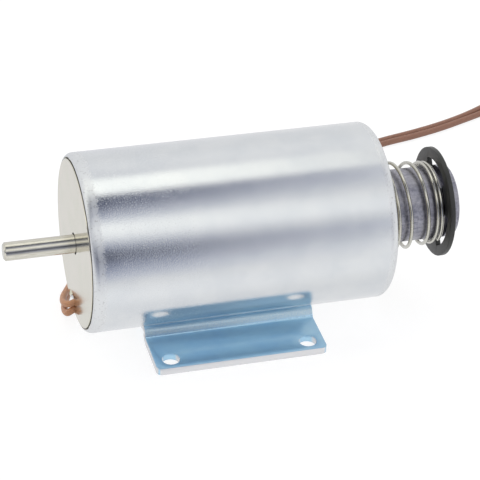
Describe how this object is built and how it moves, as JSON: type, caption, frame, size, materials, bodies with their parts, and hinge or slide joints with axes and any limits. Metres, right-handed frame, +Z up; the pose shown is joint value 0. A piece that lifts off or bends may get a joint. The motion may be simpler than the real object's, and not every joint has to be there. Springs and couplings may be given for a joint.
{
  "type": "push pull solenoid",
  "caption": "Tubular push pull solenoid on a flanged foot bracket, with a push rod, a spring-returned plunger held by a retaining ring, and free lead wires.",
  "frame": {"origin": "centre of the four foot holes, on the foot's resting face", "axes": "+X along the plunger towards its pull end, +Z up from the foot, the push rod points along -X"},
  "size_m": [0.1979, 0.1057, 0.0406],
  "materials": {
    "casing_zinc": "bright zinc plate, satin to glossy, mottled by the rolling grain",
    "foot_zinc": "bright blue zinc plate with pale cut edges",
    "disc_plate": "smooth warm grey plated steel",
    "core_steel": "turned soft iron",
    "rod_steel": "ground stainless steel",
    "plunger_steel": "grey violet phosphated steel, mottled and lightly scratched",
    "ring_black": "black phosphated and oiled spring steel",
    "spring_wire": "drawn stainless spring wire",
    "bush_bronze": "sintered bronze",
    "guide_brass": "drawn brass tube",
    "bobbin_plastic": "moulded nylon",
    "winding_copper": "enamelled copper wire",
    "tape_yellow": "polyester tape",
    "fibre_grey": "vulcanised fibre",
    "sleeve_white": "shrunk sleeve",
    "lead_brown": "orange brown extruded fluoropolymer",
    "tinned_copper": "tinned copper strand"
  },
  "bodies": {
    "housing": {"casing_tube": "casing_zinc", "foot_bracket": "foot_zinc", "front_disc": "disc_plate", "rear_disc": "disc_plate", "pole_piece": "core_steel", "residual_washer": "sleeve_white", "rod_bush": "bush_bronze", "guide_tube": "guide_brass", "coil_bobbin": "bobbin_plastic", "coil_winding": "winding_copper", "coil_tape": "tape_yellow", "fibre_washer": "fibre_grey", "coil_tails": "tinned_copper", "splice_sleeve_a": "sleeve_white", "splice_sleeve_b": "sleeve_white", "lead_wire_a": "lead_brown", "lead_wire_b": "lead_brown", "lead_tips": "tinned_copper", "return_spring": "spring_wire"},
    "ring_carrier": {"retaining_ring": "ring_black"},
    "plunger": {"plunger": "plunger_steel", "push_rod": "rod_steel"}
  },
  "joints": [
    {"name": "plunger_slide", "type": "slide", "parent": "housing", "child": "ring_carrier", "axis": [-1, 0, 0], "range_m": [0, 0.01], "stiffness_N_per_m": 160, "deforming": ["return_spring"]},
    {"name": "plunger_spin", "type": "hinge", "parent": "ring_carrier", "child": "plunger", "pos_m": [0, 0, 0.0216], "axis": [1, 0, 0], "continuous": true}
  ]
}
